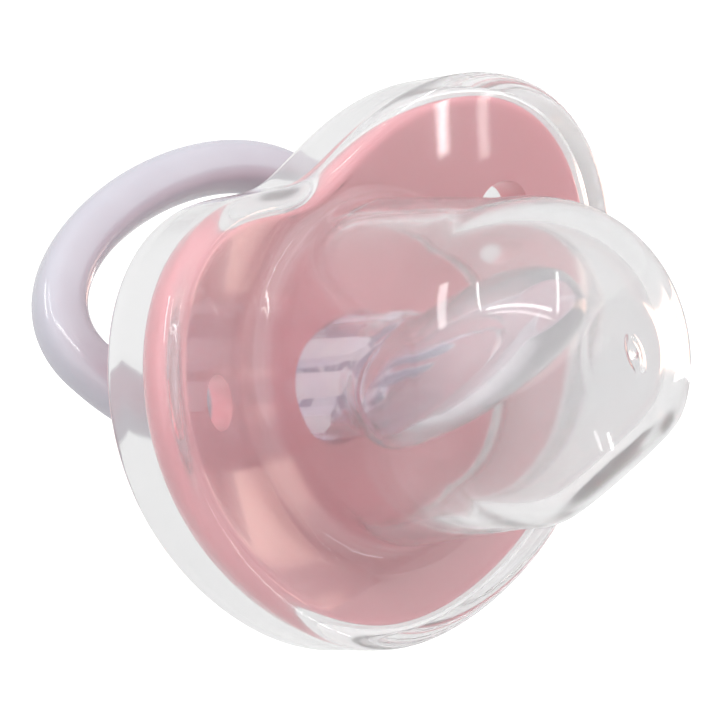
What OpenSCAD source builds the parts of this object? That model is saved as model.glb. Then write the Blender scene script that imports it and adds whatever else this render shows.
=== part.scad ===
// Capped pacifier. X runs from wing to wing, +Z towards the nose notch, and the nipple points along -Y.
// The origin is the centre of the flat back face of the knob, on the nipple's axis.
// Every sub-part is drawn in an axial frame first (x across, y up, z towards the nipple's tip, z = 0 at the
// middle of the shield's front face), and in_place() turns it into the model's frame.

/* [Shield] */
// Reach of each wing from the nipple's axis
shield_wing = 22.7; // [19:0.1:30]
// Reach of the shoulders, 45 degrees above the wings
shield_shoulder = 22.4; // [16:0.1:30]
// Reach of the nose notch above the axis
shield_notch = 14.5; // [13:0.1:22]
// Reach of the flanks, 45 degrees below the wings
shield_flank = 19.6; // [16:0.1:28]
// Reach of the chin edge below the axis
shield_chin = 18.4; // [15:0.1:26]
// Thickness of the shield
shield_t = 2.4; // [1.6:0.1:4]
// Radius of the hollow front face that clears the cheeks
shield_curve_r = 46; // [30:0.5:80]
// Diameter of each vent hole
vent_d = 4; // [3:0.1:6]
// Distance of a vent hole from the middle
vent_x = 16.9; // [15:0.1:18]
// Height of the vent holes above the axis
vent_y = 5.9; // [0:0.1:8]
// Radius of the boss behind the shield
boss_r = 9.6; // [9.2:0.1:12]
// How far the boss stands out behind the middle of the shield
boss_stand = 0.6; // [0.3:0.1:1.5]

/* [Nipple] */
// Radius of the neck's rounded ends
neck_r = 4; // [3.4:0.1:4.8]
// Distance from the axis to the centre of each rounded end of the oval neck
neck_spread = 1.7; // [0.5:0.1:2.2]
// Length of the neck in front of the shield
neck_len = 9; // [7:0.5:12]
// Width of the bulb
bulb_w = 17; // [13:0.2:18]
// Thickness of the bulb
bulb_t = 8.4; // [6:0.2:9]
// Length of the bulb
bulb_len = 18.6; // [15:0.2:20]
// Distance from the shield to the middle of the bulb
bulb_z = 12.3; // [11:0.1:14]
// Rise of the middle of the bulb towards the nose
bulb_y = 1.1; // [0:0.1:2]
// Upward tilt of the bulb, in degrees
bulb_tilt = 20; // [0:1:25]
// Wall of the nipple
nipple_wall = 0.9; // [0.6:0.1:1.2]
// Radius of the nipple's clamped flange
flange_r = 7.2; // [6.6:0.1:8]
// Thickness of the nipple's clamped flange
flange_t = 1.2; // [0.8:0.1:1.6]

/* [Core] */
// Wall of the fluted core inside the neck
core_wall = 0.9; // [0.6:0.1:1.4]
// Length of the core's long fingers in front of the shield
core_len = 5.4; // [3:0.2:6.4]
// Length of the core's short fingers in front of the shield
core_short = -0.7; // [-2:0.1:1]
// Share of the core's height over which its crown rises
core_rise = 0.67; // [0.5:0.01:1]
// Width of the slots between the fingers
core_slot = 1.3; // [0.8:0.1:2]
// Thickness of the core's disc
core_disc_t = 1; // [0.6:0.1:1.6]
// Radius of the core's stem, which is pressed into the knob
core_stem_r = 2.6; // [1.5:0.1:3.2]
// Length of the core's stem
core_stem_len = 1; // [0.6:0.1:2]

/* [Knob] */
// Radius of the knob
knob_r = 6; // [5.4:0.1:8]
// Thickness of the knob's foot, which lies on the boss
foot_t = 1.4; // [1.2:0.1:2.4]
// Wall between the core's stem and the hinge bore
hinge_web = 0.6; // [0.4:0.1:2]
// Wall of the cover behind the hinge bar
cover_wall = 1.4; // [1:0.1:3]
// Edge bevel of the cover's back face
cover_bevel = 0.9; // [0.3:0.1:1.2]
// Radius of the pegs that hold the knob and the cover
peg_r = 0.7; // [0.5:0.05:0.8]
// Length of the pegs that hold the knob on the shield
foot_peg_len = 1.5; // [0.8:0.1:1.6]
// Length of the pegs that hold the cover on the knob
cover_peg_len = 2; // [1:0.1:2.2]

/* [Ring handle] */
// Half of the ring's width along its centre line
ring_half_w = 13.6; // [11:0.1:18]
// Length of the ring from its hinge line to the middle of its far bow
ring_reach = 18.2; // [16:0.2:28]
// How much wider the ring is at its far bow than at its hinge
ring_flare = 0.15; // [0:0.01:0.3]
// Fullness of the ring's near half, where 2 is an ellipse
ring_full = 2.8; // [2:0.1:3.4]
// Width of the ring's bar, in the plane of the ring
ring_bar_w = 4; // [3.4:0.1:5]
// Thickness of the ring's bar
ring_bar_t = 3.8; // [3.4:0.1:5]
// Radius of the hinge bar across the knob
hinge_bar_r = 1.9; // [1.5:0.05:2.3]
// Step of the ring bar's eased edges
ring_edge = 0.6; // [0.2:0.1:1]
// Swing of the ring from straight back towards the nose, as it rests
ring_swing = 63; // [0:1:80]

/* [Cap] */
// Wall of the cap's flange and skirt
cap_wall = 1; // [0.8:0.1:2]
// Wall of the cap's dome
dome_wall = 1.8; // [1:0.1:2.2]
// Radius of the dome at its foot
dome_foot_r = 12.8; // [12.2:0.1:13]
// Radius of the dome where its end starts to round
dome_neck_r = 11.8; // [11.2:0.1:12.2]
// Distance from the shield to where the dome's end starts to round
dome_neck_z = 15.8; // [12:0.1:19]
// Distance from the shield to the dome's end
dome_len = 27.4; // [25.5:0.1:34]
// Fullness of the dome's rounded end, where 2 is an ellipse
dome_full = 2.65; // [2:0.05:3]
// Fillet between the dome and the flange
dome_fillet = 1.8; // [1:0.1:2]
// Slope of the flat under the dome's chin side, in degrees
chin_slope = 31; // [20:1:35]
// Distance from the middle of the shield's front face to the plane of that flat
chin_flat = 19.4; // [18.5:0.1:24]
// How far the skirt reaches behind the shield's edge
skirt_over = 2.8; // [0.5:0.1:3.5]

/* [Fits] */
// Gap between the cap and the shield all round
cap_gap = 0.2; // [0.15:0.05:0.4]
// Gap between the cap's flange and the shield's face
face_gap = 0.2; // [0.15:0.05:0.5]
// Radial clearance of the hinge bar in the knob
hinge_gap = 0.05; // [0.02:0.01:0.1]
// Clearance of pieces that are pressed or clamped together
seat_gap = 0.05; // [0.02:0.01:0.1]
// Gap between the ring's arms and the knob
arm_gap = 0.3; // [0.2:0.05:0.6]

/* [Hidden] */

outline_steps = 96;
round_steps = 20;
fine = 96;
peg_steps = 24;
eps = 0.01;
// A cutting solid reaches this far past what it cuts.
far = 60;
seat_z = -shield_t - boss_stand;
foot_z = seat_z - foot_t;
stem_z = seat_z - core_disc_t - core_stem_len;
bore_r = hinge_bar_r + hinge_gap;
hinge_z = stem_z - seat_gap - hinge_web - bore_r;
back_z = hinge_z - bore_r - cover_wall;
split_gap = seat_gap / 2;
foot_peg_ring = (flange_r + seat_gap + boss_r) / 2;
cover_peg_y = (bore_r + knob_r) / 2;
front_r = shield_curve_r;
flange_in_r = front_r - face_gap;
flange_out_r = flange_in_r - cap_wall;
skirt_r = front_r + shield_t + skirt_over;
arm_x = knob_r + arm_gap;
arm_grip = 1;
ring_half_l = ring_reach / 2;

// The shield's outline is one smooth polar curve through five reaches, 45 degrees apart from notch to chin.
reaches = [shield_notch, shield_shoulder, shield_wing, shield_flank, shield_chin];
function end_half(k) = (k == 0 || k == 4) ? 0.5 : 1;
wave = [for (i = [0:4]) end_half(i) / 2 * sum([for (k = [0:4]) end_half(k) * reaches[k] * cos(45 * i * k)])];
function sum(list, i = 0) = i < len(list) ? list[i] + sum(list, i + 1) : 0;
function reach(a) = sum([for (i = [0:4]) wave[i] * cos(i * a)]);
function reach_slope(a) = -sum([for (i = [0:4]) wave[i] * i * sin(i * a)]);
// A point of the outline at angle a from the nose, moved outwards by grow.
function outline_point(a, grow) =
    let (r = reach(a), s = reach_slope(a), n = [r * sin(a) - s * cos(a), r * cos(a) + s * sin(a)])
    [r * sin(a), r * cos(a)] + grow * n / norm(n);

// Centre height of a fillet between a wall of radius wall_r and the ball of radius r.
function fillet_z(wall_r, fillet, r) = front_r - sqrt(pow(r - fillet, 2) - pow(wall_r + fillet, 2));

module in_place() {
    translate([0, back_z, 0]) rotate([90, 0, 0]) children();
}

module outline_prism(grow, low, high) {
    translate([0, 0, low]) linear_extrude(height = high - low)
        polygon([for (i = [0:outline_steps - 1]) outline_point(360 * i / outline_steps, grow)]);
}

module ball(r) {
    translate([0, 0, front_r]) sphere(r = r, $fn = fine);
}

module oval_prism(r, spread, low, high) {
    for (side = [-1, 1]) translate([side * spread, 0, low]) cylinder(h = high - low, r = r, $fn = fine);
    translate([-spread, -r, low]) cube([2 * spread, 2 * r, high - low]);
}

module mirrored() {
    for (side = [0, 1]) mirror([side, 0, 0]) children();
}

module foot_pegs(r, length, low) {
    for (turn = [0:90:270]) rotate(turn + 45) translate([foot_peg_ring, 0, low])
        cylinder(h = length, r = r, $fn = peg_steps);
}

module cover_pegs(r, length, low) {
    for (turn = [90, 270]) rotate(turn) translate([cover_peg_y, 0, low])
        cylinder(h = length, r = r, $fn = peg_steps);
}

module shield() {
    color([0.83, 0.6, 0.63]) in_place() difference() {
        union() {
            difference() {
                intersection() {
                    outline_prism(0, -far, front_r);
                    ball(front_r + shield_t);
                }
                ball(front_r);
            }
            translate([0, 0, seat_z]) difference() {
                cylinder(h = shield_t + boss_stand + 1, r = boss_r, $fn = fine);
                translate([0, 0, -seat_z]) ball(front_r);
            }
        }
        mirrored() translate([vent_x, vent_y, -far]) cylinder(h = 2 * far, r = vent_d / 2, $fn = fine);
        oval_prism(neck_r + seat_gap, neck_spread, -far, far);
        translate([0, 0, seat_z - 1]) cylinder(h = flange_t + seat_gap + 1, r = flange_r + seat_gap, $fn = fine);
        foot_pegs(peg_r + seat_gap, foot_peg_len + seat_gap + 1, seat_z - 1);
    }
}

module bulb(shrink) {
    translate([0, bulb_y, bulb_z]) rotate([-bulb_tilt, 0, 0])
        scale([bulb_w / 2 - shrink, bulb_t / 2 - shrink, bulb_len / 2 - shrink]) sphere(r = 1, $fn = fine);
}

module nipple() {
    color([0.93, 0.93, 0.95, 0.4]) in_place() difference() {
        union() {
            oval_prism(neck_r, neck_spread, seat_z + eps, neck_len);
            translate([0, 0, seat_z]) cylinder(h = flange_t, r = flange_r, $fn = fine);
            bulb(0);
        }
        oval_prism(neck_r - nipple_wall, neck_spread, seat_z - 1, neck_len);
        bulb(nipple_wall);
    }
}

module fluted_core() {
    outer_r = neck_r - nipple_wall - seat_gap;
    slant = atan2(core_len - core_short, core_rise * 2 * outer_r);
    color([0.93, 0.92, 0.96]) in_place() {
        difference() {
            oval_prism(outer_r, neck_spread, seat_z, core_len);
            oval_prism(outer_r - core_wall, neck_spread, seat_z + core_wall, core_len + 1);
            translate([0, -outer_r, core_short]) rotate([slant, 0, 0])
                translate([-far / 2, -far / 2, 0]) cube(far);
            for (turn = [0:45:135]) rotate(turn)
                translate([-far / 2, -core_slot / 2, seat_z + core_wall + 0.3]) cube([far, core_slot, far]);
        }
        translate([0, 0, seat_z - core_disc_t]) cylinder(h = core_disc_t, r = flange_r - seat_gap, $fn = fine);
        translate([0, 0, stem_z])
            cylinder(h = core_stem_len + eps, r = core_stem_r, $fn = fine);
    }
}

module hinge_bore() {
    translate([0, 0, hinge_z]) rotate([0, 90, 0])
        cylinder(h = far, r = bore_r, center = true, $fn = fine);
}

module knob() {
    color([0.87, 0.85, 0.9]) in_place() difference() {
        union() {
            translate([0, 0, foot_z]) cylinder(h = foot_t, r = boss_r, $fn = fine);
            translate([0, 0, hinge_z + split_gap])
                cylinder(h = foot_z - hinge_z - split_gap + eps, r = knob_r, $fn = fine);
            foot_pegs(peg_r, foot_peg_len + eps, seat_z - eps);
        }
        translate([0, 0, seat_z - core_disc_t - seat_gap])
            cylinder(h = core_disc_t + 2 * seat_gap, r = flange_r + seat_gap, $fn = fine);
        translate([0, 0, stem_z - seat_gap])
            cylinder(h = core_stem_len + 1, r = core_stem_r + seat_gap, $fn = fine);
        hinge_bore();
        cover_pegs(peg_r + seat_gap, cover_peg_len + seat_gap + 1, hinge_z - 1);
    }
}

module knob_cover() {
    color([0.85, 0.83, 0.89]) in_place() difference() {
        union() {
            translate([0, 0, back_z + cover_bevel])
                cylinder(h = hinge_z - split_gap - back_z - cover_bevel, r = knob_r, $fn = fine);
            translate([0, 0, back_z])
                cylinder(h = cover_bevel, r1 = knob_r - cover_bevel, r2 = knob_r, $fn = fine);
            cover_pegs(peg_r, cover_peg_len + split_gap + eps, hinge_z - split_gap - eps);
        }
        hinge_bore();
    }
}

// A power that keeps the sign of its base.
function keen(base, power) = sign(base) * pow(abs(base), power);
// A point of the ring's outline at angle a from the hinge, moved outwards by grow.
function ring_point(a, grow) =
    let (power = 2 / (cos(a) > 0 ? ring_full : 2), y = -(ring_half_l + grow) * keen(cos(a), power))
    [(ring_half_w * (1 + ring_flare * y / ring_half_l) + grow) * keen(sin(a), power), ring_half_l + y];

module ring_layer(inset, low, high) {
    translate([0, 0, low]) linear_extrude(height = high - low) difference() {
        polygon([for (i = [0:outline_steps - 1]) ring_point(360 * i / outline_steps, ring_bar_w / 2 - inset)]);
        polygon([for (i = [0:outline_steps - 1]) ring_point(360 * i / outline_steps, inset - ring_bar_w / 2)]);
        translate([-arm_x, -far / 2]) square([2 * arm_x, far / 2 + knob_r]);
    }
}

module ring_handle() {
    color([0.86, 0.85, 0.9]) in_place() translate([0, 0, hinge_z]) rotate([ring_swing - 90, 0, 0]) {
        ring_layer(0, ring_edge - ring_bar_t / 2, ring_bar_t / 2 - ring_edge);
        ring_layer(ring_edge, -ring_bar_t / 2, ring_edge - ring_bar_t / 2);
        ring_layer(ring_edge, ring_bar_t / 2 - ring_edge, ring_bar_t / 2);
        rotate([0, 90, 0]) cylinder(h = 2 * (arm_x + arm_grip), r = hinge_bar_r, center = true, $fn = fine);
    }
}

// Everything inside the dome's surface, from below the flange to its end.
module dome_solid(foot_r, neck_r, z_end, fillet, ball_r, shrink) {
    centre_z = fillet_z(foot_r, fillet, ball_r);
    touch = atan2(foot_r + fillet, front_r - centre_z);
    profile = concat(
        [[0, -2], [ball_r * sin(touch), -2]],
        [for (i = [0:round_steps])
            let (a = 270 + touch - (90 + touch) * i / round_steps)
            [foot_r + fillet + fillet * cos(a), centre_z + fillet * sin(a)]],
        [for (i = [0:round_steps])
            let (a = 90 * i / round_steps)
            [neck_r * pow(cos(a), 2 / dome_full),
             dome_neck_z + (z_end - dome_neck_z) * pow(sin(a), 2 / dome_full)]]
    );
    difference() {
        rotate_extrude($fn = fine) polygon(profile);
        rotate([180 - chin_slope, 0, 0]) translate([-far / 2, chin_flat - shrink, -far]) cube([far, far, 2 * far]);
    }
}

module protective_cap() {
    color([0.9, 0.9, 0.92, 0.35]) in_place() difference() {
        union() {
            difference() {
                intersection() {
                    outline_prism(cap_gap + cap_wall, -far, front_r);
                    ball(skirt_r);
                }
                ball(flange_out_r);
            }
            intersection() {
                dome_solid(dome_foot_r, dome_neck_r, dome_len, dome_fillet, flange_out_r, 0);
                outline_prism(cap_gap + cap_wall, 0, far);
            }
        }
        difference() {
            outline_prism(cap_gap, -far, front_r);
            ball(flange_in_r);
        }
        intersection() {
            dome_solid(dome_foot_r - dome_wall, dome_neck_r - dome_wall, dome_len - dome_wall,
                       dome_fillet + dome_wall, flange_in_r, dome_wall);
            outline_prism(cap_gap, -far, far);
        }
    }
}

protective_cap();
shield();
nipple();
fluted_core();
knob();
knob_cover();
ring_handle();
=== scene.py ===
"""The looks of a capped infant pacifier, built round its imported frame.

Each piece is drawn in millimetres in an axial frame: x from wing to wing, y towards the nose notch, and z towards
the nipple's tip, with z = 0 at the middle of the shield's front face. Axis.place() then puts it in the row frame.
"""

import logging
from dataclasses import dataclass, field
from enum import Enum
from math import asin, cos, exp, log, pi, radians, sin, sqrt, tau
from typing import Callable

import bmesh
import bpy
from mathutils import Matrix, Vector


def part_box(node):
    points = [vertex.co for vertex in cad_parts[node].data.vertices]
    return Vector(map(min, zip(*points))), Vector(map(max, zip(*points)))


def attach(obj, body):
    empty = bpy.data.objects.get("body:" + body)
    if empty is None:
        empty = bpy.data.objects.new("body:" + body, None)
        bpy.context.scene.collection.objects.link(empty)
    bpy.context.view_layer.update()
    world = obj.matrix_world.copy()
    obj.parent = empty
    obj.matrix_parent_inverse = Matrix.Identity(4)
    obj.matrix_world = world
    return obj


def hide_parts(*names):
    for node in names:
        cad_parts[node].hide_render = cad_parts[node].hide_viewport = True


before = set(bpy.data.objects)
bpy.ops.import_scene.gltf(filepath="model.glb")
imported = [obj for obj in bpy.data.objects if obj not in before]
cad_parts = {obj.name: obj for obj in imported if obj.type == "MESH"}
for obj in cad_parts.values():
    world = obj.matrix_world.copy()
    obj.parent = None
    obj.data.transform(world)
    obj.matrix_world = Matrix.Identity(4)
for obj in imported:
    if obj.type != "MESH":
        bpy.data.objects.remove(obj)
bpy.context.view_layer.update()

LOG = logging.getLogger("pacifier")
MM = 0.001
MERGE = 1e-4
AROUND = 192

Place = Callable[[float], Vector]
Colour = tuple[float, float, float]


class Body(Enum):
    """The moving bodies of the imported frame."""

    SHIELD = "shield_unit"
    CAP = "cap"
    RING = "ring"


class Slot(Enum):
    """The record's material slots."""

    CAP = "clear_cap"
    SHIELD = "pink_shield"
    NIPPLE = "clear_silicone"
    CORE = "white_core"
    PLASTIC = "lavender_plastic"


def keen(base: float, power: float) -> float:
    """Raise the size of a number to a power and keep its sign."""
    return abs(base) ** power * (1 if base >= 0 else -1)


def ease(value: float, low: float = 0.0, high: float = 1.0) -> float:
    """Step smoothly from 0 at low to 1 at high."""
    share = min(1.0, max(0.0, (value - low) / (high - low)))
    return share * share * (3 - 2 * share)


def lerp(start: float, end: float, share: float) -> float:
    """Blend two numbers."""
    return start + (end - start) * share


def soft_min(first: float, second: float, keenness: float = 3.0) -> float:
    """Take the smaller of two lengths, rounded off where they meet."""
    low = min(first, second)
    return low - log(exp(-keenness * (first - low)) + exp(-keenness * (second - low))) / keenness


def oval(angle: float, half_x: float, half_y: float, power: float, z: float) -> Vector:
    """Give a point of a full oval.

    Args:
        angle: turn from the nose towards the right wing, in radians.
        half_x: half of the oval's width.
        half_y: half of its height.
        power: its fullness, where 2 is an ellipse.
        z: its height on the axis.

    Returns:
        The point, in the axial frame.
    """
    return Vector((half_x * keen(sin(angle), 2 / power), half_y * keen(cos(angle), 2 / power), z))


@dataclass(frozen=True)
class Axis:
    """The nipple's axis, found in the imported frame."""

    seat_depth: float = 3.0

    @property
    def front(self) -> float:
        """Place of the shield's front face along the row frame's Y, in millimetres."""
        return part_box("nipple")[1].y / MM - self.seat_depth

    def matrix(self) -> Matrix:
        """Turn the axial frame, in millimetres, into the row frame, in metres."""
        turn = Matrix(((1, 0, 0, 0), (0, 0, -1, self.front), (0, 1, 0, 0), (0, 0, 0, 1)))
        return Matrix.Scale(MM, 4) @ turn

    def point(self, x: float, y: float, z: float) -> Vector:
        """Give one axial point in the row frame."""
        return self.matrix() @ Vector((x, y, z))


class SkinLoft:
    """A closed skin that grows ring by ring out of one circle."""

    def __init__(self, first: Place, steps: int = AROUND) -> None:
        """Start the skin.

        Args:
            first: gives the first ring's point at an angle.
            steps: the number of points in each ring.
        """
        self.steps = steps
        self.mesh = bmesh.new()
        self.ring = bmesh.ops.create_circle(self.mesh, cap_ends=False, radius=1.0, segments=steps)["verts"]
        self.edges = list(self.mesh.edges)
        self.first = first
        self._shape(first)

    def _shape(self, place: Place) -> None:
        """Move the present ring to its place."""
        for index, vert in enumerate(self.ring):
            vert.co = place(tau * index / self.steps)

    def grow(self, place: Place) -> None:
        """Extrude the present ring into a new one."""
        made = bmesh.ops.extrude_edge_only(self.mesh, edges=self.edges)["geom"]
        fresh = {item for item in made if isinstance(item, bmesh.types.BMVert)}
        self.ring = [
            next(edge.other_vert(vert) for edge in vert.link_edges if edge.other_vert(vert) in fresh)
            for vert in self.ring
        ]
        self.edges = [
            item for item in made if isinstance(item, bmesh.types.BMEdge) and set(item.verts) <= fresh
        ]
        self._shape(place)

    def grow_all(self, places: list[Place]) -> None:
        """Grow several rings in order."""
        for place in places:
            self.grow(place)

    def join(self) -> None:
        """Run the skin back to its first ring."""
        self.grow(self.first)

    def piece(self, name: str, axis: Axis) -> bpy.types.Object:
        """Seal the poles and joins, and make the object."""
        bmesh.ops.remove_doubles(self.mesh, verts=self.mesh.verts, dist=MERGE)
        bmesh.ops.dissolve_degenerate(self.mesh, edges=self.mesh.edges, dist=MERGE)
        return piece_of(self.mesh, name, axis.matrix())


def piece_of(mesh: bmesh.types.BMesh, name: str, matrix: Matrix, sharp: float = 50.0) -> bpy.types.Object:
    """Turn a mesh in work into a smooth object of the scene.

    Args:
        mesh: the mesh in work, which is freed.
        name: the object's name.
        matrix: its place.
        sharp: edges above this angle, in degrees, stay sharp.

    Returns:
        The object, at the origin.
    """
    bmesh.ops.transform(mesh, matrix=matrix, verts=mesh.verts)
    bmesh.ops.recalc_face_normals(mesh, faces=mesh.faces)
    data = bpy.data.meshes.new(name)
    mesh.to_mesh(data)
    mesh.free()
    data.shade_smooth()
    data.set_sharp_from_angle(angle=radians(sharp))
    made = bpy.data.objects.new(name, data)
    bpy.context.scene.collection.objects.link(made)
    return made


def carve(target: bpy.types.Object, cutter: bpy.types.Object, sharp: float = 50.0) -> None:
    """Cut one object out of another and remove the cutter.

    Args:
        target: the object that keeps its name and gets the cut.
        cutter: the object that is cut away.
        sharp: edges above this angle, in degrees, stay sharp.
    """
    step = target.modifiers.new("cut", "BOOLEAN")
    step.operation = "DIFFERENCE"
    step.solver = "EXACT"
    step.object = cutter
    bpy.context.view_layer.update()
    graph = bpy.context.evaluated_depsgraph_get()
    data = bpy.data.meshes.new_from_object(target.evaluated_get(graph))
    target.modifiers.clear()
    old = target.data
    target.data = data
    bpy.data.meshes.remove(old)
    data.name = target.name
    data.shade_smooth()
    data.set_sharp_from_angle(angle=radians(sharp))
    bpy.data.objects.remove(cutter)


def lathe(profile: list[tuple[float, float]], matrix: Matrix, name: str, steps: int = 96) -> bpy.types.Object:
    """Spin a closed profile round the z axis.

    Args:
        profile: (radius, height) corners, from axis to axis.
        matrix: the solid's place.
        name: the object's name.
        steps: the number of steps round.

    Returns:
        The solid.
    """
    mesh = bmesh.new()
    verts = [mesh.verts.new((radius, 0, height)) for radius, height in profile]
    edges = [mesh.edges.new(pair) for pair in zip(verts, verts[1:])]
    bmesh.ops.spin(mesh, geom=verts + edges, cent=(0, 0, 0), axis=(0, 0, 1), angle=tau, steps=steps, use_merge=True)
    bmesh.ops.remove_doubles(mesh, verts=mesh.verts, dist=MERGE)
    return piece_of(mesh, name, matrix)


def arc(centre: tuple[float, float], radius: float, start: float, end: float, steps: int = 6) -> list:
    """List the points of an arc in a profile.

    Args:
        centre: (radius, height) of the arc's centre.
        radius: the arc's own radius.
        start: first angle, in degrees.
        end: last angle, in degrees.
        steps: the number of steps.

    Returns:
        The points, first and last included.
    """
    turns = [radians(lerp(start, end, index / steps)) for index in range(steps + 1)]
    return [(centre[0] + radius * cos(turn), centre[1] + radius * sin(turn)) for turn in turns]


@dataclass(frozen=True)
class Outline:
    """The shield's outline, one polar wave through five reaches from the notch to the chin."""

    notch: float = 14.5
    shoulder: float = 22.4
    wing: float = 22.7
    flank: float = 19.6
    chin: float = 18.4

    @property
    def wave(self) -> list[float]:
        """Cosine terms of the outline."""
        reaches = (self.notch, self.shoulder, self.wing, self.flank, self.chin)
        last = len(reaches) - 1
        half = [0.5 if index in (0, last) else 1.0 for index in range(len(reaches))]
        return [
            2 / last * half[i] * sum(half[k] * reaches[k] * cos(pi / last * i * k) for k in range(last + 1))
            for i in range(last + 1)
        ]

    def point(self, angle: float, grow: float) -> Vector:
        """Give a point of the outline, moved outwards.

        Args:
            angle: turn from the nose towards the right wing, in radians.
            grow: how far it moves outwards.

        Returns:
            The flat point.
        """
        reach = sum(term * cos(index * angle) for index, term in enumerate(self.wave))
        slope = -sum(term * index * sin(index * angle) for index, term in enumerate(self.wave))
        out = Vector((reach * sin(angle) - slope * cos(angle), reach * cos(angle) + slope * sin(angle)))
        return Vector((reach * sin(angle), reach * cos(angle))) + grow * out.normalized()


@dataclass(frozen=True)
class Hollow:
    """The family of balls about one centre that shapes the shield and the cap's flange."""

    centre: float = 46.0

    def height(self, flat: Vector, depth: float) -> float:
        """Height at a flat point, on the ball that lies depth behind the shield's front face."""
        return self.centre - sqrt((self.centre + depth) ** 2 - flat.length_squared)

    def on(self, flat: Vector, depth: float) -> Vector:
        """The point itself."""
        return Vector((flat.x, flat.y, self.height(flat, depth)))


OUTLINE = Outline()
HOLLOW = Hollow()


# ---------------------------------------------------------------------------------------------------------------------
# Finishes


def link(tree: bpy.types.NodeTree, source: bpy.types.NodeSocket, target: bpy.types.NodeSocket) -> None:
    """Join two sockets."""
    tree.links.new(source, target)


def moulded_skin() -> bpy.types.NodeTree:
    """Build the shared group for moulded surfaces: a faint ripple, a tint mask and a gloss value.

    Returns:
        The node group, with Vector, Ripple Scale, Gloss and Gloss Spread inputs.
    """
    group = bpy.data.node_groups.new("MouldedSkin", "ShaderNodeTree")
    group.interface.new_socket("Vector", in_out="INPUT", socket_type="NodeSocketVector")
    for name, value in (("Ripple Scale", 200.0), ("Grain Scale", 2500.0), ("Gloss", 0.1), ("Gloss Spread", 0.04)):
        group.interface.new_socket(name, in_out="INPUT", socket_type="NodeSocketFloat").default_value = value
    for name in ("Height", "Tint Mask", "Roughness"):
        group.interface.new_socket(name, in_out="OUTPUT", socket_type="NodeSocketFloat")
    nodes = group.nodes
    inward, outward = nodes.new("NodeGroupInput"), nodes.new("NodeGroupOutput")
    ripple, grain = nodes.new("ShaderNodeTexNoise"), nodes.new("ShaderNodeTexNoise")
    for noise, scale, detail in ((ripple, "Ripple Scale", 2.0), (grain, "Grain Scale", 3.0)):
        noise.inputs["Detail"].default_value = detail
        link(group, inward.outputs["Vector"], noise.inputs["Vector"])
        link(group, inward.outputs[scale], noise.inputs["Scale"])
    height = nodes.new("ShaderNodeMath")
    height.operation = "MULTIPLY_ADD"
    height.inputs[1].default_value = 0.12
    link(group, grain.outputs["Fac"], height.inputs[0])
    link(group, ripple.outputs["Fac"], height.inputs[2])
    mask = nodes.new("ShaderNodeMapRange")
    mask.inputs["From Min"].default_value = 0.35
    mask.inputs["From Max"].default_value = 0.65
    link(group, ripple.outputs["Fac"], mask.inputs["Value"])
    rough = nodes.new("ShaderNodeMath")
    rough.operation = "MULTIPLY_ADD"
    link(group, grain.outputs["Fac"], rough.inputs[0])
    link(group, inward.outputs["Gloss Spread"], rough.inputs[1])
    link(group, inward.outputs["Gloss"], rough.inputs[2])
    link(group, height.outputs[0], outward.inputs["Height"])
    link(group, mask.outputs["Result"], outward.inputs["Tint Mask"])
    link(group, rough.outputs[0], outward.inputs["Roughness"])
    return group


@dataclass(frozen=True)
class Finish:
    """A moulded plastic or rubber finish."""

    name: str
    slot: Slot
    colour: Colour
    shade: Colour
    gloss: float
    gloss_spread: float = 0.03
    ripple_scale: float = 180.0
    bump: float = 0.05
    clear: float = 0.0
    ior: float = 1.5
    glow: float = 0.0
    coat: float = 0.0
    # Emission strength: a painted glow that brightens the part in place of light that does not reach it.
    painted_glow: float = 0.0

    def material(self, group: bpy.types.NodeTree) -> bpy.types.Material:
        """Build the material round the shared moulded-skin group.

        Args:
            group: the moulded-skin group.

        Returns:
            The material.
        """
        made = bpy.data.materials.new(self.name)
        made.use_nodes = True
        tree = made.node_tree
        shader = tree.nodes["Principled BSDF"]
        place = tree.nodes.new("ShaderNodeTexCoord")
        skin = tree.nodes.new("ShaderNodeGroup")
        skin.node_tree = group
        skin.inputs["Ripple Scale"].default_value = self.ripple_scale
        skin.inputs["Gloss"].default_value = self.gloss
        skin.inputs["Gloss Spread"].default_value = self.gloss_spread
        link(tree, place.outputs["Object"], skin.inputs["Vector"])
        tint = tree.nodes.new("ShaderNodeMix")
        tint.data_type = "RGBA"
        tint.inputs["A"].default_value = (*self.shade, 1)
        tint.inputs["B"].default_value = (*self.colour, 1)
        link(tree, skin.outputs["Tint Mask"], tint.inputs["Factor"])
        link(tree, tint.outputs["Result"], shader.inputs["Base Color"])
        link(tree, skin.outputs["Roughness"], shader.inputs["Roughness"])
        bump = tree.nodes.new("ShaderNodeBump")
        bump.inputs["Strength"].default_value = self.bump
        bump.inputs["Distance"].default_value = 0.2 * MM
        link(tree, skin.outputs["Height"], bump.inputs["Height"])
        link(tree, bump.outputs["Normal"], shader.inputs["Normal"])
        shader.inputs["IOR"].default_value = self.ior
        shader.inputs["Transmission Weight"].default_value = self.clear
        shader.inputs["Coat Weight"].default_value = self.coat
        shader.inputs["Coat Roughness"].default_value = 0.03
        shader.inputs["Subsurface Weight"].default_value = self.glow
        shader.inputs["Subsurface Radius"].default_value = (1.0, 0.7, 0.7)
        shader.inputs["Subsurface Scale"].default_value = 1.2 * MM
        # Painted glow: the tinted colour is emitted at this strength.
        shader.inputs["Emission Strength"].default_value = self.painted_glow
        if self.painted_glow:
            link(tree, tint.outputs["Result"], shader.inputs["Emission Color"])
        return made


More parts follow.
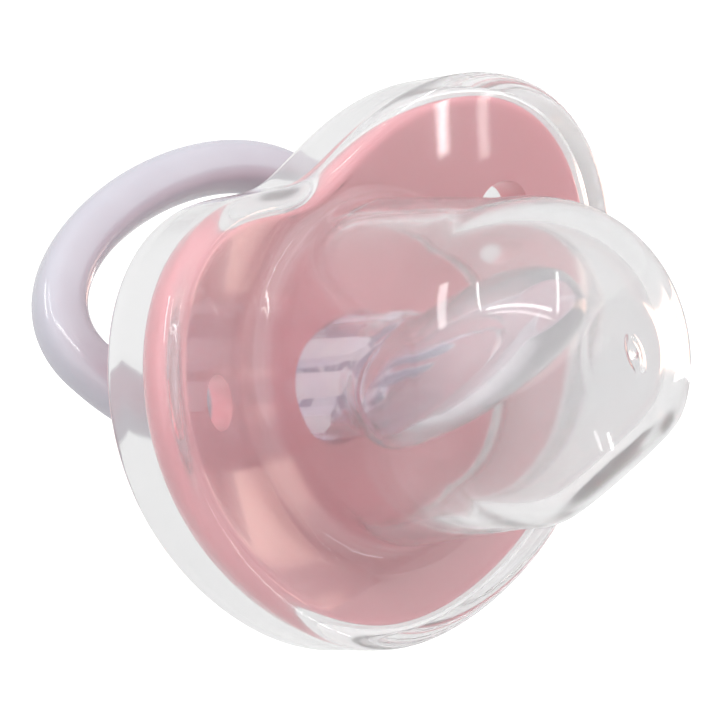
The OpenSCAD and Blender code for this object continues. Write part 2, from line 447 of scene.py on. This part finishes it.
FINISHES = (
    Finish("ClearCapPlastic", Slot.CAP, (0.91, 0.91, 0.915), (0.895, 0.895, 0.90), 0.05, 0.05, 90.0, 0.02,
           clear=0.92, ior=1.49),
    Finish("PinkShieldPlastic", Slot.SHIELD, (0.93, 0.30, 0.345), (0.91, 0.275, 0.325), 0.16, 0.05, 120.0, 0.04,
           coat=0.4),
    Finish("ClearSilicone", Slot.NIPPLE, (0.98, 0.94, 0.98), (0.965, 0.92, 0.97), 0.03, 0.04, 260.0, 0.03,
           clear=0.9, ior=1.41),
    # The white core carries a painted glow, to brighten it behind the clear nipple and cap.
    Finish("WhiteCorePlastic", Slot.CORE, (0.93, 0.91, 0.94), (0.86, 0.82, 0.90), 0.2, 0.05, 400.0, 0.05,
           glow=0.2, painted_glow=0.35),
    Finish("LavenderPlastic", Slot.PLASTIC, (0.385, 0.378, 0.422), (0.37, 0.36, 0.405), 0.14, 0.05, 150.0, 0.04,
           glow=0.25, coat=0.3),
)


# Painted shade: a darker lavender copy of the core's finish for the crown's inner faces, with a weaker painted glow.
PAINTED_SHADE_CORE = Finish("ShadedCorePlastic", Slot.CORE, (0.50, 0.48, 0.62), (0.44, 0.42, 0.56), 0.3, 0.05, 400.0, 0.05,
                    painted_glow=0.12)


class Finishes:
    """All materials, by slot."""

    def __init__(self) -> None:
        """Build the shared group and the materials."""
        group = moulded_skin()
        self.by_slot = {finish.slot: finish.material(group) for finish in FINISHES}
        self.painted_shade_core = PAINTED_SHADE_CORE.material(group)

    def dress(self, piece: bpy.types.Object, slot: Slot, body: Body, *nodes: str) -> None:
        """Give a piece its finish, its body and the CAD nodes that it stands for.

        Args:
            piece: the finished piece.
            slot: the material slot that it takes its finish from.
            body: the body that it rides on.
            nodes: the CAD nodes that it stands for.
        """
        piece.data.materials.clear()
        piece.data.materials.append(self.by_slot[slot])
        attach(piece, body.value)
        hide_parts(*nodes)
        LOG.info("%s: %d faces on %s", piece.name, len(piece.data.polygons), body.value)


# ---------------------------------------------------------------------------------------------------------------------
# Pieces


@dataclass
class DomeSkin:
    """One side of the cap's wall over the dome, from the flange to the dome's end."""

    foot_r: float
    neck_r: float
    neck_z: float
    end_z: float
    fillet: float
    flat: float
    depth: float
    reach: float
    full: float = 2.65
    slope: float = radians(31)
    crease: float = 0.7
    gate: bool = False
    mark_half: Vector = field(default_factory=lambda: Vector((0.8, 1.55)))

    def shaved(self, point: Vector) -> Vector:
        """Press a point back to the flat on the chin side."""
        over = -point.y * cos(self.slope) + point.z * sin(self.slope) - self.flat
        push = (over + sqrt(over * over + self.crease ** 2)) / 2
        return point + push * Vector((0, cos(self.slope), -sin(self.slope)))

    def round_ring(self, radius: float, z: float) -> Place:
        """A round ring, shaved by the flat."""
        return lambda angle: self.shaved(oval(angle, radius, radius, 2, z))

    def marked_ring(self, radius: float) -> Place:
        """A ring on the dome's end, with the small oval moulding mark pressed into it."""
        share = (radius / self.neck_r) ** self.full
        z = self.neck_z + (self.end_z - self.neck_z) * (1 - share) ** (1 / self.full)

        def place(angle: float) -> Vector:
            """One point."""
            point = oval(angle, radius, radius, 2, z)
            if self.gate:
                reach = sqrt((point.x / self.mark_half.x) ** 2 + (point.y / self.mark_half.y) ** 2)
                rise = 0.2 * exp(-((radius / 0.32) ** 2)) - 0.16 * (1 - ease(reach, 0.65, 1.1))
                point.z += rise
            return self.shaved(point)

        return place

    def end_rings(self) -> list[Place]:
        """Rings from the middle of the dome's end to its neck."""
        near = [0.1 * index for index in range(20)] if self.gate else [0.0, 0.8]
        places = [self.marked_ring(radius) for radius in near]
        steps = 26
        begin = 0.17
        for index in range(steps + 1):
            turn = lerp(begin, 1.0, index / steps) * pi / 2
            radius = self.neck_r * sin(turn) ** (2 / self.full)
            if radius > near[-1] + 0.15:
                z = self.neck_z + (self.end_z - self.neck_z) * max(cos(turn), 0.0) ** (2 / self.full)
                places.append(self.round_ring(radius, z))
        return places

    def fillet_end(self, angle: float) -> float:
        """Radius at which the fillet meets the flange, drawn in beside the notch."""
        return soft_min(self.foot_r + self.fillet, OUTLINE.point(angle, self.reach).length - 0.2)

    def fillet_ring(self, share: float) -> Place:
        """A ring of the fillet, from the wall at 0 to the flange at 1."""

        def place(angle: float) -> Vector:
            """One point."""
            out = Vector((sin(angle), cos(angle)))
            corner = HOLLOW.height(out * self.foot_r, self.depth)
            end = self.fillet_end(angle)
            radius = lerp(lerp(self.foot_r, self.foot_r, share), lerp(self.foot_r, end, share), share)
            top = lerp(corner + self.fillet, corner, share)
            z = lerp(top, lerp(corner, HOLLOW.height(out * end, self.depth), share), share)
            return self.shaved(Vector((out.x * radius, out.y * radius, z)))

        return place

    def wall_rings(self) -> list[Place]:
        """Rings down the straight wall and through the fillet."""
        foot_z = HOLLOW.height(Vector((self.foot_r, 0)), self.depth) + self.fillet
        places = []
        for index in range(1, 8):
            share = index / 8
            places.append(self.round_ring(lerp(self.neck_r, self.foot_r, share), lerp(self.neck_z, foot_z, share)))
        return places + [self.fillet_ring(index / 10) for index in range(11)]

    def flange_rings(self, edge: float) -> list[Place]:
        """Rings over the flange, from the fillet out to an offset of the outline."""

        def ring(share: float) -> Place:
            """One ring."""

            def place(angle: float) -> Vector:
                """One point."""
                start = Vector((sin(angle), cos(angle))) * self.fillet_end(angle)
                return HOLLOW.on(start.lerp(OUTLINE.point(angle, edge), share), self.depth)

            return place

        return [ring(index / 12) for index in range(1, 13)]

    def rings(self, edge: float) -> list[Place]:
        """All rings, from the dome's end to the flange's edge."""
        return self.end_rings() + self.wall_rings() + self.flange_rings(edge)


def rim_ring(offset: float, depth: float) -> Place:
    """A ring that follows the outline at an offset, on the ball at a depth."""
    return lambda angle: HOLLOW.on(OUTLINE.point(angle, offset), depth)


def rim_arc(offset: float, depth: float, radius: float, start: float, end: float, steps: int) -> list[Place]:
    """Rings round an edge.

    Args:
        offset: offset of the arc's centre from the outline.
        depth: depth of the arc's centre behind the shield's front face.
        radius: radius of the arc.
        start: first angle, in degrees, where 0 faces the front and 90 faces outwards.
        end: last angle, in degrees.
        steps: the number of steps.

    Returns:
        The rings.
    """
    turns = [radians(lerp(start, end, index / steps)) for index in range(steps + 1)]
    return [rim_ring(offset + radius * sin(turn), depth - radius * cos(turn)) for turn in turns]


@dataclass
class ProtectiveCap:
    """The clear cap: a flange and skirt round the shield, and a dome over the nipple."""

    gap: float = 0.2
    wall: float = 1.0
    dome_wall: float = 1.8
    foot_r: float = 12.8
    neck_r: float = 11.8
    neck_z: float = 15.8
    end_z: float = 27.4
    fillet: float = 2.3
    flat: float = 19.4
    skirt_depth: float = 5.2
    outer_corner: float = 1.7
    inner_corner: float = 0.9
    lip: float = 0.45

    def build(self, axis: Axis, finishes: Finishes) -> None:
        """Grow the cap from the middle of its dome's outside to the middle of its inside."""
        grow = self.gap + self.wall
        front = -self.gap - self.wall
        outer = DomeSkin(self.foot_r, self.neck_r, self.neck_z, self.end_z, self.fillet, self.flat, front,
                         grow - self.outer_corner, gate=True)
        inner = DomeSkin(self.foot_r - self.dome_wall, self.neck_r - self.dome_wall, self.neck_z,
                         self.end_z - self.dome_wall, self.fillet + self.dome_wall, self.flat - self.dome_wall,
                         -self.gap, self.gap - self.inner_corner)
        places = outer.rings(grow - self.outer_corner)
        places += rim_arc(grow - self.outer_corner, front + self.outer_corner, self.outer_corner, 9, 90, 9)
        back = self.skirt_depth - self.lip
        places += [rim_ring(grow, lerp(front + self.outer_corner, back, share)) for share in (0.25, 0.5, 0.75)]
        places += rim_arc(grow - self.lip, back, self.lip, 90, 180, 5)
        places += rim_arc(self.gap + self.lip, back, self.lip, 180, 270, 5)
        start = self.inner_corner - self.gap
        places += [rim_ring(self.gap, lerp(back, start, share)) for share in (0.25, 0.5, 0.75)]
        places += rim_arc(self.gap - self.inner_corner, start, self.inner_corner, 90, 9, 7)
        places += inner.rings(self.gap - self.inner_corner)[::-1]
        loft = SkinLoft(places[0])
        loft.grow_all(places[1:])
        finishes.dress(loft.piece("protective_cap_clear", axis), Slot.CAP, Body.CAP, "protective_cap")


@dataclass
class Shield:
    """The pink shield, with its vents, its round rim and the boss behind it."""

    thick: float = 2.4
    boss_r: float = 9.6
    seat_z: float = -3.0
    recess_r: float = 7.25
    recess: float = 1.25
    neck: tuple[float, float, float] = (5.75, 4.05, 2.35)
    vent: tuple[float, float, float] = (16.9, 5.9, 2.0)
    vent_depth: float = 20.0
    vent_round: float = 0.3

    def neck_ring(self, grow: float, z: float) -> Place:
        """A ring round the neck's hole."""
        return lambda angle: oval(angle, self.neck[0] + grow, self.neck[1] + grow, self.neck[2], z)

    def front_ring(self, share: float, soft: float) -> Place:
        """A ring of the front face, from the neck's hole at 0 to the rim at 1."""

        def place(angle: float) -> Vector:
            """One point."""
            start = oval(angle, self.neck[0] + soft, self.neck[1] + soft, self.neck[2], 0).to_2d()
            return HOLLOW.on(start.lerp(OUTLINE.point(angle, -self.thick / 2), share), 0)

        return place

    def back_ring(self, share: float, radius: float) -> Place:
        """A ring of the back face, from the rim at 0 to a circle round the boss at 1."""

        def place(angle: float) -> Vector:
            """One point."""
            circle = Vector((sin(angle), cos(angle))) * radius
            return HOLLOW.on(OUTLINE.point(angle, -self.thick / 2).lerp(circle, share), self.thick)

        return place

    def skin(self) -> list[Place]:
        """All rings, once round the shield's section."""
        half = self.thick / 2
        soft = 0.35
        foot = HOLLOW.height(Vector((self.boss_r, 0)), self.thick)
        round_ring = lambda radius, z: (lambda angle: oval(angle, radius, radius, 2, z))
        places = [self.front_ring((index / 16) ** 1.2, soft) for index in range(17)]
        places += rim_arc(-half, half, half, 15, 180, 11)
        places += [self.back_ring(index / 12, self.boss_r + 1.0) for index in range(1, 13)]
        places += [round_ring(self.boss_r + 1.0 - 0.7 * t, foot + 0.12 - 0.3 * t * t) for t in (0.4, 0.7, 1.0)]
        places += [round_ring(self.boss_r + 0.05, foot - 0.5)]
        places += [round_ring(radius, z) for radius, z in arc((self.boss_r - 0.3, self.seat_z + 0.3), 0.3, 0, -90, 4)]
        places += [round_ring(self.recess_r, self.seat_z), round_ring(self.recess_r, self.seat_z + self.recess)]
        places += [self.neck_ring(0, self.seat_z + self.recess), self.neck_ring(0, -soft - 0.1)]
        places += [self.neck_ring(soft * (1 - cos(turn)), -soft * (1 - sin(turn))) for turn in (0.35, 0.8, 1.2)]
        return places

    def vent_cutter(self, side: int, axis: Axis) -> bpy.types.Object:
        """Make the solid that cuts one vent straight along the nipple's axis.

        Args:
            side: 1 for the right wing, -1 for the left.
            axis: the nipple's axis.

        Returns:
            The cutter.
        """
        x, y, radius = self.vent
        mesh = bmesh.new()
        bmesh.ops.create_cone(mesh, cap_ends=True, segments=72, radius1=radius, radius2=radius, depth=self.vent_depth)
        return piece_of(mesh, "vent_cutter", axis.matrix() @ Matrix.Translation((side * x, y, 0)))

    def build(self, axis: Axis, finishes: Finishes) -> None:
        """Grow the shield and cut its vents."""
        places = self.skin()
        loft = SkinLoft(places[0])
        loft.grow_all(places[1:])
        loft.join()
        piece = loft.piece("shield_pink", axis)
        for side in (-1, 1):
            carve(piece, self.vent_cutter(side, axis))
        rounding = piece.modifiers.new("soft_rims", "BEVEL")
        rounding.width = self.vent_round * MM
        rounding.segments = 4
        rounding.limit_method = "ANGLE"
        rounding.angle_limit = radians(50)
        finishes.dress(piece, Slot.SHIELD, Body.SHIELD, "shield")


@dataclass(frozen=True)
class Station:
    """One cross-section of the nipple."""

    y: float
    z: float
    half_w: float
    half_t: float
    tilt: float
    flat: float

    def ring(self, shrink: float) -> Place:
        """The section's ring, drawn in by a wall."""

        def place(angle: float) -> Vector:
            """One point."""
            wide = max(self.half_w - shrink, 0.0)
            thick = max(self.half_t - shrink, 0.0)
            power = lerp(2.3, 2.3 + self.flat, ease(-cos(angle), 0.0, 0.3))
            x = wide * keen(sin(angle), 2 / 2.3)
            up = thick * keen(cos(angle), 2 / power)
            return Vector((x, self.y + up * cos(self.tilt), self.z - up * sin(self.tilt)))

        return place


@dataclass
class Nipple:
    """The clear silicone nipple: a clamped flange, an oval neck and a tilted orthodontic bulb."""

    neck_w: float = 5.7
    neck_t: float = 4.0
    neck_end: float = 4.0
    bulb_w: float = 8.5
    bulb_t: float = 4.2
    bulb_l: float = 9.3
    bulb_y: float = 1.1
    bulb_z: float = 12.3
    tilt: float = radians(20)
    wall: float = 0.9
    flange_r: float = 7.2
    seat_z: float = -3.0
    flange_z: float = -1.8
    heel: float = -0.42

    def bulb_station(self, share: float) -> Station:
        """A section of the bulb, at a share of its half length from -1 to 1."""
        girth = sqrt(max(1 - abs(share) ** 2.1, 0.0))
        along = share * self.bulb_l
        return Station(self.bulb_y + along * sin(self.tilt), self.bulb_z + along * cos(self.tilt),
                       self.bulb_w * girth, self.bulb_t * girth, self.tilt, 1.6)

    def stations(self, shrink: float) -> list[Station]:
        """All sections from the flange to the tip, for one side of the wall."""
        neck = [Station(0, z, self.neck_w, self.neck_t, 0, 0.0) for z in (self.flange_z + 0.01, -0.5, 1.0, 2.5, self.neck_end)]
        heel = self.bulb_station(self.heel)
        steps = 14
        bend = []
        for index in range(1, steps):
            share = index / steps
            soft = ease(share)
            bend.append(Station(lerp(0, heel.y, soft), lerp(self.neck_end, heel.z, share), lerp(self.neck_w, heel.half_w, soft),
                                lerp(self.neck_t, heel.half_t, soft), heel.tilt * soft, heel.flat * soft))
        steps = 34
        first, last = asin(self.heel), asin(1 - shrink / self.bulb_l)
        bulb = [self.bulb_station(sin(lerp(first, last, index / steps))) for index in range(steps)]
        end = self.bulb_station(1 - shrink / self.bulb_l)
        tip = Station(end.y, end.z, shrink, shrink, end.tilt, 0.0)
        return neck + bend + bulb + [tip]

    def build(self, axis: Axis, finishes: Finishes) -> None:
        """Grow the nipple from the inside of its tip, down and out through its flange, and up to the tip again."""
        inside = [station.ring(self.wall) for station in self.stations(self.wall)][::-1]
        outside = [station.ring(0) for station in self.stations(0)]
        inner = (self.neck_w - self.wall, self.neck_t - self.wall, 2.3)
        flange = [
            lambda angle: oval(angle, *inner, self.seat_z),
            lambda angle: oval(angle, self.flange_r, self.flange_r, 2, self.seat_z),
            lambda angle: oval(angle, self.flange_r, self.flange_r, 2, self.flange_z),
        ]
        loft = SkinLoft(inside[0])
        loft.grow_all(inside[1:] + flange + outside)
        finishes.dress(loft.piece("nipple_clear", axis), Slot.NIPPLE, Body.SHIELD, "nipple")


@dataclass
class FlutedCore:
    """The white core in the nipple's neck: a disc, a stem and a slanted crown of pointed fingers."""

    half_w: float = 4.83
    half_t: float = 3.13
    wall: float = 0.9
    seat_z: float = -3.0
    disc_r: float = 7.15
    disc: float = 1.0
    stem_r: float = 2.6
    stem: float = 1.0
    tall: float = 5.4
    short: float = -0.7
    rise: float = 0.67
    fingers: int = 8
    slot_half: float = 0.65
    slot_z: float = -1.8
    point: float = 1.1
    power: float = 2.35

    def crown(self, angle: float) -> float:
        """Height of the crown's edge at an angle."""
        pitch = tau / self.fingers
        off = abs((angle + pitch / 2) % pitch - pitch / 2)
        flat = oval(angle, self.half_w, self.half_t, self.power, 0)
        climb = min(1.0, (flat.y / self.half_t + 1) / 2 / self.rise)
        slope = lerp(self.short, self.tall, climb)
        if off * flat.length < self.slot_half:
            return min(self.slot_z, slope)
        return max(slope - self.point * (1 - off / (pitch / 2)) ** 1.5, min(self.slot_z, slope))

    def wall_ring(self, shrink: float, share: float, low: float) -> Place:
        """A ring of the crown's wall, from its foot at 0 to its edge at 1."""

        def place(angle: float) -> Vector:
            """One point."""
            top = self.crown(angle)
            return oval(angle, self.half_w - shrink, self.half_t - shrink, self.power, lerp(low, top, share))

        return place

    def build(self, axis: Axis, finishes: Finishes) -> None:
        """Grow the core from the stem's end to the floor of the crown."""
        disc_z = self.seat_z - self.disc
        flat_ring = lambda radius, z: (lambda angle: oval(angle, radius, radius, 2, z))
        profile = [(0, disc_z - self.stem), (self.stem_r, disc_z - self.stem), (self.stem_r, disc_z),
                   (self.disc_r, disc_z), (self.disc_r, self.seat_z)]
        places = [flat_ring(radius, z) for radius, z in profile]
        soft = 0.12
        places += [self.wall_ring(0, index / 10, self.seat_z) for index in range(10)]
        places += [self.wall_ring(0, 0.985, self.seat_z), self.wall_ring(soft, 1, self.seat_z)]
        places += [self.wall_ring(self.wall - soft, 1, self.seat_z + self.wall)]
        places += [self.wall_ring(self.wall, 0.985 - index / 10, self.seat_z + self.wall) for index in range(10)]
        places += [lambda angle: Vector((0, 0, self.seat_z + self.wall))]
        loft = SkinLoft(places[0])
        loft.grow_all(places[1:])
        piece = loft.piece("fluted_core_white", axis)
        finishes.dress(piece, Slot.CORE, Body.SHIELD, "fluted_core")
        # The crown's inward faces get the darker copy: painted shade inside the crown.
        piece.data.materials.append(finishes.painted_shade_core)
        for face in piece.data.polygons:
            outward = face.center.x * face.normal.x + face.center.z * face.normal.z
            face.material_index = int(outward < 0 and face.center.y < axis.front * MM + 0.002)


@dataclass
class Knob:
    """The knob behind the shield and its cover, split along the ring's hinge line."""

    foot_r: float = 9.6
    radius: float = 6.0
    seat_z: float = -3.0
    foot_z: float = -4.4
    hinge_z: float = -7.6
    back_z: float = -10.95
    bore_r: float = 1.95
    split: float = 0.025
    disc_r: float = 7.25
    disc_z: float = -4.05
    stem_r: float = 2.65
    stem_z: float = -5.05

    def bore(self, axis: Axis) -> bpy.types.Object:
        """Make the solid that cuts the hinge bore."""
        mesh = bmesh.new()
        bmesh.ops.create_cone(mesh, cap_ends=True, segments=96, radius1=self.bore_r, radius2=self.bore_r,
                              depth=4 * self.radius)
        matrix = Matrix.Translation((0, 0, self.hinge_z)) @ Matrix.Rotation(pi / 2, 4, "Y")
        return piece_of(mesh, "bore_cutter", axis.matrix() @ matrix)

    def body_profile(self) -> list[tuple[float, float]]:
        """Profile of the knob, from the stem's hole round to the hinge line."""
        low = self.hinge_z + self.split
        profile = [(0, self.stem_z), (self.stem_r, self.stem_z), (self.stem_r, self.disc_z),
                   (self.disc_r, self.disc_z), (self.disc_r, self.seat_z)]
        profile += arc((self.foot_r - 0.12, self.seat_z - 0.12), 0.12, 90, 0, 3)
        profile += arc((self.foot_r - 0.7, self.foot_z + 0.7), 0.7, 0, -90, 8)
        profile += arc((self.radius + 0.6, self.foot_z - 0.6), 0.6, 90, 180, 8)
        profile += arc((self.radius - 0.1, low + 0.1), 0.1, 0, -90, 3)
        return profile + [(0, low)]

    def cover_profile(self) -> list[tuple[float, float]]:
        """Profile of the cover, from the hinge line round to its flat back."""
        high = self.hinge_z - self.split
        profile = [(0, high)] + arc((self.radius - 0.1, high - 0.1), 0.1, 90, 0, 3)
        profile += arc((self.radius - 1.0, self.back_z + 1.0), 1.0, 0, -90, 12)
        return profile + [(0, self.back_z)]

    def build(self, axis: Axis, finishes: Finishes) -> None:
        """Turn both halves and cut the bore."""
        halves = (("knob_lavender", "knob", self.body_profile()), ("knob_cover_lavender", "knob_cover", self.cover_profile()))
        for name, node, profile in halves:
            piece = lathe(profile, axis.matrix(), name, 128)
            carve(piece, self.bore(axis))
            finishes.dress(piece, Slot.PLASTIC, Body.SHIELD, node)


@dataclass
class RingHandle:
    """The ring: a rounded bar swept round a full bow, with a round hinge bar through the knob."""

    half_w: float = 13.6
    reach: float = 18.2
    flare: float = 0.15
    full: float = 2.8
    bar_w: float = 4.0
    bar_t: float = 3.8
    corner: float = 0.95
    hinge_r: float = 1.9
    hinge_z: float = -7.6
    swing: float = radians(63)
    grip: float = 6.2
    round_steps: int = 240
    section_steps: int = 48

    def centre(self, turn: float) -> Vector:
        """Point of the bar's centre line, in the ring's own plane, at a turn from the hinge."""
        half = self.reach / 2
        power = 2 / (self.full if cos(turn) > 0 else 2.0)
        y = -half * keen(cos(turn), power)
        x = self.half_w * (1 + self.flare * y / half) * keen(sin(turn), power)
        near = ease(abs(x), self.grip, self.grip + 3.0) if cos(turn) > 0 else 1.0
        return Vector((x, (half + y) * near, 0))

    def section(self, angle: float, share: float) -> Vector:
        """Point of the bar's section: across, up.

        Args:
            angle: turn round the section.
            share: 0 for the round hinge bar, 1 for the full bar.

        Returns:
            The flat point.
        """
        across, up = cos(angle), sin(angle)
        ring = Vector((across, up)) * self.hinge_r
        half = Vector((self.bar_w / 2 - self.corner, self.bar_t / 2 - self.corner))
        power = 0.55
        box = Vector((half.x * keen(across, power), half.y * keen(up, power)))
        return ring.lerp(box + Vector((across, up)) * self.corner, share)

    def build(self, axis: Axis, finishes: Finishes) -> None:
        """Sweep the bar once round the ring."""
        tilt = Matrix.Rotation(self.swing - pi / 2, 4, "X")
        matrix = Matrix.Translation((0, 0, self.hinge_z)) @ tilt
        small = tau / self.round_steps / 4

        def ring(turn: float) -> Place:
            """The bar's section at a turn."""
            here = self.centre(turn)
            along = (self.centre(turn + small) - self.centre(turn - small)).normalized()
            out = Vector((along.y, -along.x, 0))
            share = ease(abs(here.x) if here.y < self.reach / 2 else self.reach, self.grip, self.grip + 1.6)

            def place(angle: float) -> Vector:
                """One point."""
                flat = self.section(angle, share)
                return matrix @ (here + out * flat.x + Vector((0, 0, flat.y)))

            return place

        turns = [tau * (index + 0.5) / self.round_steps for index in range(self.round_steps)]
        loft = SkinLoft(ring(turns[0]), self.section_steps)
        loft.grow_all([ring(turn) for turn in turns[1:]])
        loft.join()
        finishes.dress(loft.piece("ring_handle_lavender", axis), Slot.PLASTIC, Body.RING, "ring_handle")


# ---------------------------------------------------------------------------------------------------------------------
# Studio


@dataclass(frozen=True)
class Panel:
    """A strip or panel of light, set by the directions of its two ends from the object."""

    name: str
    start: Colour
    end: Colour
    width: float
    radiance: float
    distance: float = 0.45
    colour: Colour = (1.0, 1.0, 1.0)
    clear: bool = False

    def add(self, aim: Vector) -> None:
        """Hang the light so that it faces the object.

        Args:
            aim: the point that it faces.
        """
        start, end = Vector(self.start).normalized(), Vector(self.end).normalized()
        back = (start + end).normalized()
        along = (end - start).normalized()
        data = bpy.data.lights.new(self.name, "AREA")
        data.shape = "RECTANGLE"
        data.size = self.width * self.distance
        data.size_y = (end - start).length * self.distance
        data.energy = self.radiance * pi * data.size * data.size_y
        data.color = self.colour
        lamp = bpy.data.objects.new(self.name, data)
        lamp.location = aim + back * self.distance
        lamp.rotation_mode = "QUATERNION"
        lamp.rotation_quaternion = Matrix((along.cross(back), along, back)).transposed().to_quaternion()
        lamp.visible_camera = False
        lamp.visible_transmission = self.clear
        bpy.context.scene.collection.objects.link(lamp)


PANELS = (
    Panel("dome_frame_left", (-0.216, 0.031, 0.976), (-0.511, -0.172, 0.842), 0.025, 22),
    Panel("dome_frame_low", (-0.511, -0.172, 0.842), (0.159, -0.933, 0.324), 0.025, 22),
    Panel("dome_frame_low_2", (-0.53, -0.24, 0.815), (0.11, -0.955, 0.27), 0.015, 14),
    Panel("dome_frame_right", (0.159, -0.933, 0.324), (0.364, -0.711, 0.602), 0.025, 22),
    Panel("dome_streak", (-0.183, 0.423, 0.887), (-0.635, 0.309, 0.708), 0.1, 9),
    Panel("wing_streak", (0.326, -0.567, -0.756), (0.301, -0.732, -0.612), 0.03, 16),
    Panel("wing_soft_streak", (0.203, -0.624, -0.754), (0.169, -0.799, -0.578), 0.03, 7),
    Panel("side_streak", (0.825, 0.403, -0.397), (0.89, 0.027, -0.455), 0.03, 5),
    Panel("side_streak_2", (0.89, 0.027, -0.455), (0.832, -0.305, -0.464), 0.03, 5),
    Panel("salmon_panel", (0.86, 0.33, -0.32), (0.85, -0.4, -0.308), 0.24, 3.0, colour=(1.0, 0.62, 0.48), clear=True),
)


@dataclass
class Studio:
    """A plain pale floor, soft light and the camera."""

    floor_z: float = -0.4
    floor_r: float = 9.0
    bright_side: Colour = (-0.35, -0.8, 0.35)
    near_level: float = 1.9
    paper_lift: float = 0.45
    far_level: float = 0.85
    azimuth: float = -42.24
    elevation: float = 15.77
    roll: float = 21.2
    distance: float = 0.24076
    lens: float = 162.0
    sensor: float = 36.0
    aim_right: float = 0.34
    aim_up: float = 1.14

    def floor(self) -> None:
        """Lay the floor."""
        mesh = bmesh.new()
        bmesh.ops.create_circle(mesh, cap_ends=True, radius=self.floor_r, segments=64)
        bmesh.ops.translate(mesh, verts=mesh.verts, vec=(0, 0, self.floor_z))
        data = bpy.data.meshes.new("studio_floor")
        mesh.to_mesh(data)
        mesh.free()
        floor = bpy.data.objects.new("studio_floor", data)
        bpy.context.scene.collection.objects.link(floor)
        made = bpy.data.materials.new("StudioPaper")
        made.use_nodes = True
        shader = made.node_tree.nodes["Principled BSDF"]
        shader.inputs["Base Color"].default_value = (0.62, 0.62, 0.62, 1)
        shader.inputs["Roughness"].default_value = 1.0
        shader.inputs["Emission Color"].default_value = (1, 1, 1, 1)
        path, lift = (made.node_tree.nodes.new(f"ShaderNode{kind}") for kind in ("LightPath", "Math"))
        lift.operation = "MULTIPLY"
        lift.inputs[1].default_value = self.paper_lift
        link(made.node_tree, path.outputs["Is Camera Ray"], lift.inputs[0])
        link(made.node_tree, lift.outputs[0], shader.inputs["Emission Strength"])
        data.materials.append(made)

    def sky(self) -> None:
        """Fill the room with white light that is stronger from the front."""
        world = bpy.data.worlds.new("StudioRoom")
        world.use_nodes = True
        nodes, links = world.node_tree.nodes, world.node_tree.links
        place, dot, level = (nodes.new(f"ShaderNode{kind}") for kind in ("TexCoord", "VectorMath", "MapRange"))
        dot.operation = "DOT_PRODUCT"
        dot.inputs[1].default_value = Vector(self.bright_side).normalized()
        level.interpolation_type = "SMOOTHSTEP"
        level.inputs["From Min"].default_value = -0.25
        level.inputs["From Max"].default_value = 0.75
        level.inputs["To Min"].default_value = self.far_level
        level.inputs["To Max"].default_value = self.near_level
        links.new(place.outputs["Generated"], dot.inputs[0])
        links.new(dot.outputs["Value"], level.inputs["Value"])
        links.new(level.outputs["Result"], nodes["Background"].inputs["Strength"])
        nodes["Background"].inputs["Color"].default_value = (1, 1, 1, 1)
        bpy.context.scene.world = world

    def lights(self, aim: Vector) -> None:
        """Hang the lights."""
        for panel in PANELS:
            panel.add(aim)

    def light_paths(self) -> None:
        """Let light pass through many clear walls before it is lost."""
        paths = bpy.context.scene.cycles
        paths.max_bounces = 32
        paths.glossy_bounces = 24
        paths.transmission_bounces = 32

    def camera(self, front: Vector) -> None:
        """Set the camera.

        Args:
            front: the middle of the shield's front face, which it orbits.
        """
        turn, rise = radians(self.azimuth), radians(self.elevation)
        back = Vector((sin(turn) * cos(rise), -cos(turn) * cos(rise), sin(rise)))
        level = back.to_track_quat("Z", "Y").to_matrix()
        view = level @ Matrix.Rotation(-radians(self.roll), 3, "Z")
        data = bpy.data.cameras.new("camera")
        data.lens, data.sensor_width = self.lens, self.sensor
        data.clip_start = 0.01
        camera = bpy.data.objects.new("camera", data)
        offset = view @ Vector((self.aim_right, self.aim_up, 0)) * MM
        camera.location = front + offset + back * self.distance
        camera.rotation_mode = "QUATERNION"
        camera.rotation_quaternion = view.to_quaternion()
        bpy.context.scene.collection.objects.link(camera)
        bpy.context.scene.camera = camera

    def build(self, axis: Axis) -> None:
        """Set up the whole studio."""
        front = axis.point(0, 0, 0)
        self.floor()
        self.sky()
        self.lights(front)
        self.light_paths()
        self.camera(front)
        bpy.context.scene.view_settings.view_transform = "Standard"


def main() -> None:
    """Build the pacifier and its studio."""
    logging.basicConfig(level=logging.INFO, format="%(name)s: %(message)s")
    axis = Axis()
    finishes = Finishes()
    for part in (ProtectiveCap(), Shield(), Nipple(), FlutedCore(), Knob(), RingHandle()):
        part.build(axis, finishes)
    Studio().build(axis)


if __name__ == "__main__":
    main()
